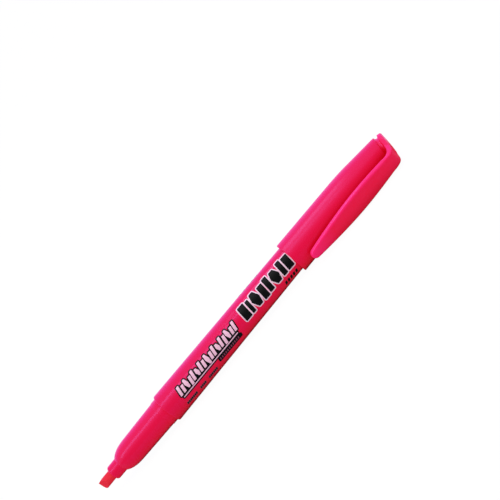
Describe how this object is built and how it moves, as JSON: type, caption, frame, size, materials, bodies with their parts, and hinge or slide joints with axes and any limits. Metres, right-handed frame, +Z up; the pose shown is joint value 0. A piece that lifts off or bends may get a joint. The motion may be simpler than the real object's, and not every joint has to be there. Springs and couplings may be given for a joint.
{
  "type": "highlighter pen",
  "caption": "Pocket highlighter with a tapered round barrel, a chisel felt nib and a clip cap posted on its tail; the cap slides off and the clip springs open.",
  "frame": {"origin": "on the pen's axis at the barrel's front rim, where the cap's mouth seats when the pen is closed", "axes": "-X along the pen towards the nib, +X towards the posted cap's closed end; +Z up as the pen lies at rest, with the clip towards -Y and 14.8 degrees below the horizontal"},
  "size_m": [0.1502, 0.0163, 0.0126],
  "materials": {
    "barrel_plastic": "moulded fluorescent pink, glossy",
    "section_plastic": "moulded fluorescent pink, glossy",
    "cap_plastic": "moulded fluorescent pink, glossy",
    "clip_plastic": "moulded fluorescent pink, satin gloss",
    "plug_plastic": "moulded fluorescent pink, glossy",
    "nib_felt": "pressed polyester fibre, wet with ink",
    "core_fibre": "bundled polyester fibre, soaked with ink",
    "film": "thin clear wrapping film, tinted by the ink",
    "seal_plastic": "natural white polyethylene"
  },
  "bodies": {
    "barrel": {"barrel": "barrel_plastic", "front_section": "section_plastic", "chisel_nib": "nib_felt", "ink_reservoir": "core_fibre", "reservoir_film": "film", "breather_tube": "seal_plastic", "rear_plug": "plug_plastic"},
    "cap": {"cap_shell": "cap_plastic", "inner_cap": "seal_plastic"},
    "clip": {"pocket_clip": "clip_plastic"}
  },
  "joints": [
    {"name": "cap_slide", "type": "slide", "parent": "barrel", "child": "cap", "axis": [1, 0, 0], "range_m": [0, 0.025]},
    {"name": "clip_flex", "type": "hinge", "parent": "cap", "child": "clip", "pos_m": [0.11384, 0.00371, 0.00098], "axis": [0, -0.2554, 0.9668], "range_deg": [0, 3.5], "stiffness_Nm_per_rad": 0.2}
  ]
}
